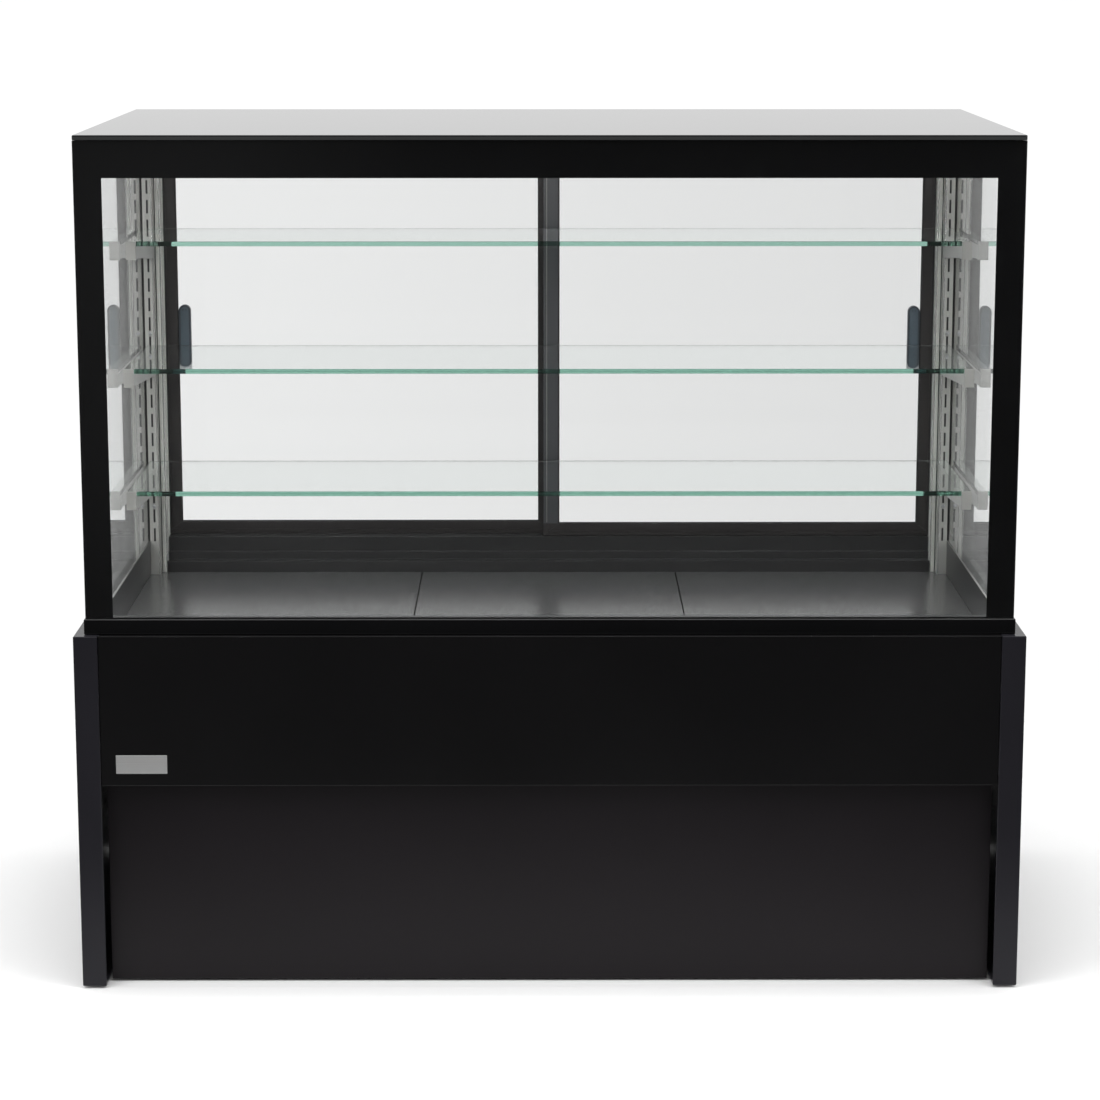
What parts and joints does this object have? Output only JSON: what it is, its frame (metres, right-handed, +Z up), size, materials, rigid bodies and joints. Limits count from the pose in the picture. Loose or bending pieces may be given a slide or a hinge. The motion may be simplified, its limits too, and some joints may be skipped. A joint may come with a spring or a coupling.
{
  "type": "refrigerated deli case",
  "caption": "Upright glazed refrigerated display case on a closed plinth, with glass shelves on slotted uprights, lift-out deck pans and sliding glass rear doors.",
  "frame": {"origin": "middle of the footprint, on the floor under the feet", "axes": "+Z up, -Y towards the customer (the front glass), +X to the customer's right"},
  "size_m": [1.5, 0.8, 1.36],
  "materials": {
    "black_lacquer": "gloss black stove enamel",
    "side_black": "satin blue-black powder coat",
    "kick_black": "satin warm black powder coat",
    "deck_steel": "semi-gloss dark grey coated steel",
    "zinc_steel": "zinc plated",
    "silver": "silver anodised",
    "bracket_grey": "light grey",
    "clear_glass": "clear float glass",
    "shelf_glass": "clear float glass with green polished edges",
    "black_glass": "black tempered glass, opaque",
    "frame_black": "satin black anodised",
    "rail_black": "gloss black",
    "pull_grey": "blue-grey moulded plastic",
    "tub_lining": "foamed insulated lining",
    "fins": "plain aluminium fins",
    "black_plastic": "moulded black",
    "key_grey": "moulded grey",
    "badge_grey": "plain light-grey plate",
    "compressor_black": "gloss black steel shell",
    "foot_rubber": "black foot"
  },
  "bodies": {
    "cabinet": {"badge_plate": "badge_grey", "cable_gland": "black_plastic", "canopy_panel": "black_lacquer", "chassis_base": "zinc_steel", "compressor": "compressor_black", "condenser_coil": "fins", "control_panel": "black_plastic", "display_surround": "deck_steel", "evaporator_coil": "fins", "fan_shroud": "zinc_steel", "front_fascia": "black_lacquer", "front_glass": "clear_glass", "front_left_foot": "foot_rubber", "front_right_foot": "foot_rubber", "glass_base_rail": "rail_black", "insulated_tub": "tub_lining", "kick_panel": "kick_black", "led_lamp": "silver", "left_jamb": "silver", "left_side_glass": "clear_glass", "left_side_panel": "side_black", "left_slotted_upright": "silver", "lower_left_bracket": "bracket_grey", "lower_right_bracket": "bracket_grey", "middle_left_bracket": "bracket_grey", "middle_right_bracket": "bracket_grey", "rear_fascia": "black_lacquer", "rear_head": "frame_black", "rear_left_foot": "foot_rubber", "rear_right_foot": "foot_rubber", "rear_sill": "frame_black", "right_jamb": "silver", "right_side_glass": "clear_glass", "right_side_panel": "side_black", "right_slotted_upright": "silver", "service_grille": "black_lacquer", "top_left_bracket": "bracket_grey", "top_panel": "black_glass", "top_right_bracket": "bracket_grey"},
    "left_door": {"left_door_frame": "frame_black", "left_door_glass": "clear_glass", "left_door_pull": "pull_grey"},
    "right_door": {"right_door_frame": "frame_black", "right_door_glass": "clear_glass", "right_door_pull": "pull_grey"},
    "left_door_left_roller": {"left_door_left_roller": "black_plastic"},
    "left_door_right_roller": {"left_door_right_roller": "black_plastic"},
    "right_door_left_roller": {"right_door_left_roller": "black_plastic"},
    "right_door_right_roller": {"right_door_right_roller": "black_plastic"},
    "top_shelf": {"top_shelf": "shelf_glass"},
    "middle_shelf": {"middle_shelf": "shelf_glass"},
    "lower_shelf": {"lower_shelf": "shelf_glass"},
    "left_deck_pan": {"left_deck_pan": "deck_steel"},
    "middle_deck_pan": {"middle_deck_pan": "deck_steel"},
    "right_deck_pan": {"right_deck_pan": "deck_steel"},
    "condenser_fan": {"condenser_fan": "black_plastic"},
    "evaporator_blower": {"evaporator_blower": "black_plastic"},
    "light_rocker": {"light_rocker": "key_grey"},
    "set_key": {"set_key": "key_grey"},
    "standby_key": {"standby_key": "key_grey"}
  },
  "joints": [
    {"name": "left_door_slide", "type": "slide", "parent": "cabinet", "child": "left_door", "axis": [1, 0, 0], "range_m": [0, 0.66]},
    {"name": "right_door_slide", "type": "slide", "parent": "cabinet", "child": "right_door", "axis": [-1, 0, 0], "range_m": [0, 0.66]},
    {"name": "left_door_left_roller_spin", "type": "hinge", "parent": "left_door", "child": "left_door_left_roller", "pos_m": [-0.619, 0.358, 0.6028], "axis": [0, 1, 0], "continuous": true},
    {"name": "left_door_right_roller_spin", "type": "hinge", "parent": "left_door", "child": "left_door_right_roller", "pos_m": [-0.0602, 0.358, 0.6028], "axis": [0, 1, 0], "continuous": true},
    {"name": "right_door_left_roller_spin", "type": "hinge", "parent": "right_door", "child": "right_door_left_roller", "pos_m": [0.0602, 0.335, 0.6028], "axis": [0, 1, 0], "continuous": true},
    {"name": "right_door_right_roller_spin", "type": "hinge", "parent": "right_door", "child": "right_door_right_roller", "pos_m": [0.619, 0.335, 0.6028], "axis": [0, 1, 0], "continuous": true},
    {"name": "top_shelf_lift", "type": "slide", "parent": "cabinet", "child": "top_shelf", "axis": [0, 0, 1], "range_m": [0, 0.06]},
    {"name": "middle_shelf_lift", "type": "slide", "parent": "cabinet", "child": "middle_shelf", "axis": [0, 0, 1], "range_m": [0, 0.06]},
    {"name": "lower_shelf_lift", "type": "slide", "parent": "cabinet", "child": "lower_shelf", "axis": [0, 0, 1], "range_m": [0, 0.06]},
    {"name": "left_deck_pan_lift", "type": "slide", "parent": "cabinet", "child": "left_deck_pan", "axis": [0, 0, 1], "range_m": [0, 0.08]},
    {"name": "middle_deck_pan_lift", "type": "slide", "parent": "cabinet", "child": "middle_deck_pan", "axis": [0, 0, 1], "range_m": [0, 0.08]},
    {"name": "right_deck_pan_lift", "type": "slide", "parent": "cabinet", "child": "right_deck_pan", "axis": [0, 0, 1], "range_m": [0, 0.08]},
    {"name": "condenser_fan_spin", "type": "hinge", "parent": "cabinet", "child": "condenser_fan", "pos_m": [-0.32, 0.2, 0.191], "axis": [0, 1, 0], "continuous": true},
    {"name": "evaporator_blower_spin", "type": "hinge", "parent": "cabinet", "child": "evaporator_blower", "pos_m": [0, -0.05, 0.44], "axis": [1, 0, 0], "continuous": true},
    {"name": "light_rocker_tilt", "type": "hinge", "parent": "cabinet", "child": "light_rocker", "pos_m": [-0.47, 0.3868, 0.4625], "axis": [1, 0, 0], "range_deg": [0, 16]},
    {"name": "set_key_press", "type": "slide", "parent": "cabinet", "child": "set_key", "axis": [0, -1, 0], "range_m": [0, 0.0008], "stiffness_N_per_m": 400},
    {"name": "standby_key_press", "type": "slide", "parent": "cabinet", "child": "standby_key", "axis": [0, -1, 0], "range_m": [0, 0.0008], "stiffness_N_per_m": 400}
  ],
  "couplings": [
    {"joint": "left_door_left_roller_spin", "follows": "left_door_slide", "rad_per_m": 142.86},
    {"joint": "left_door_right_roller_spin", "follows": "left_door_slide", "rad_per_m": 142.86},
    {"joint": "right_door_left_roller_spin", "follows": "right_door_slide", "rad_per_m": -142.86},
    {"joint": "right_door_right_roller_spin", "follows": "right_door_slide", "rad_per_m": -142.86}
  ]
}
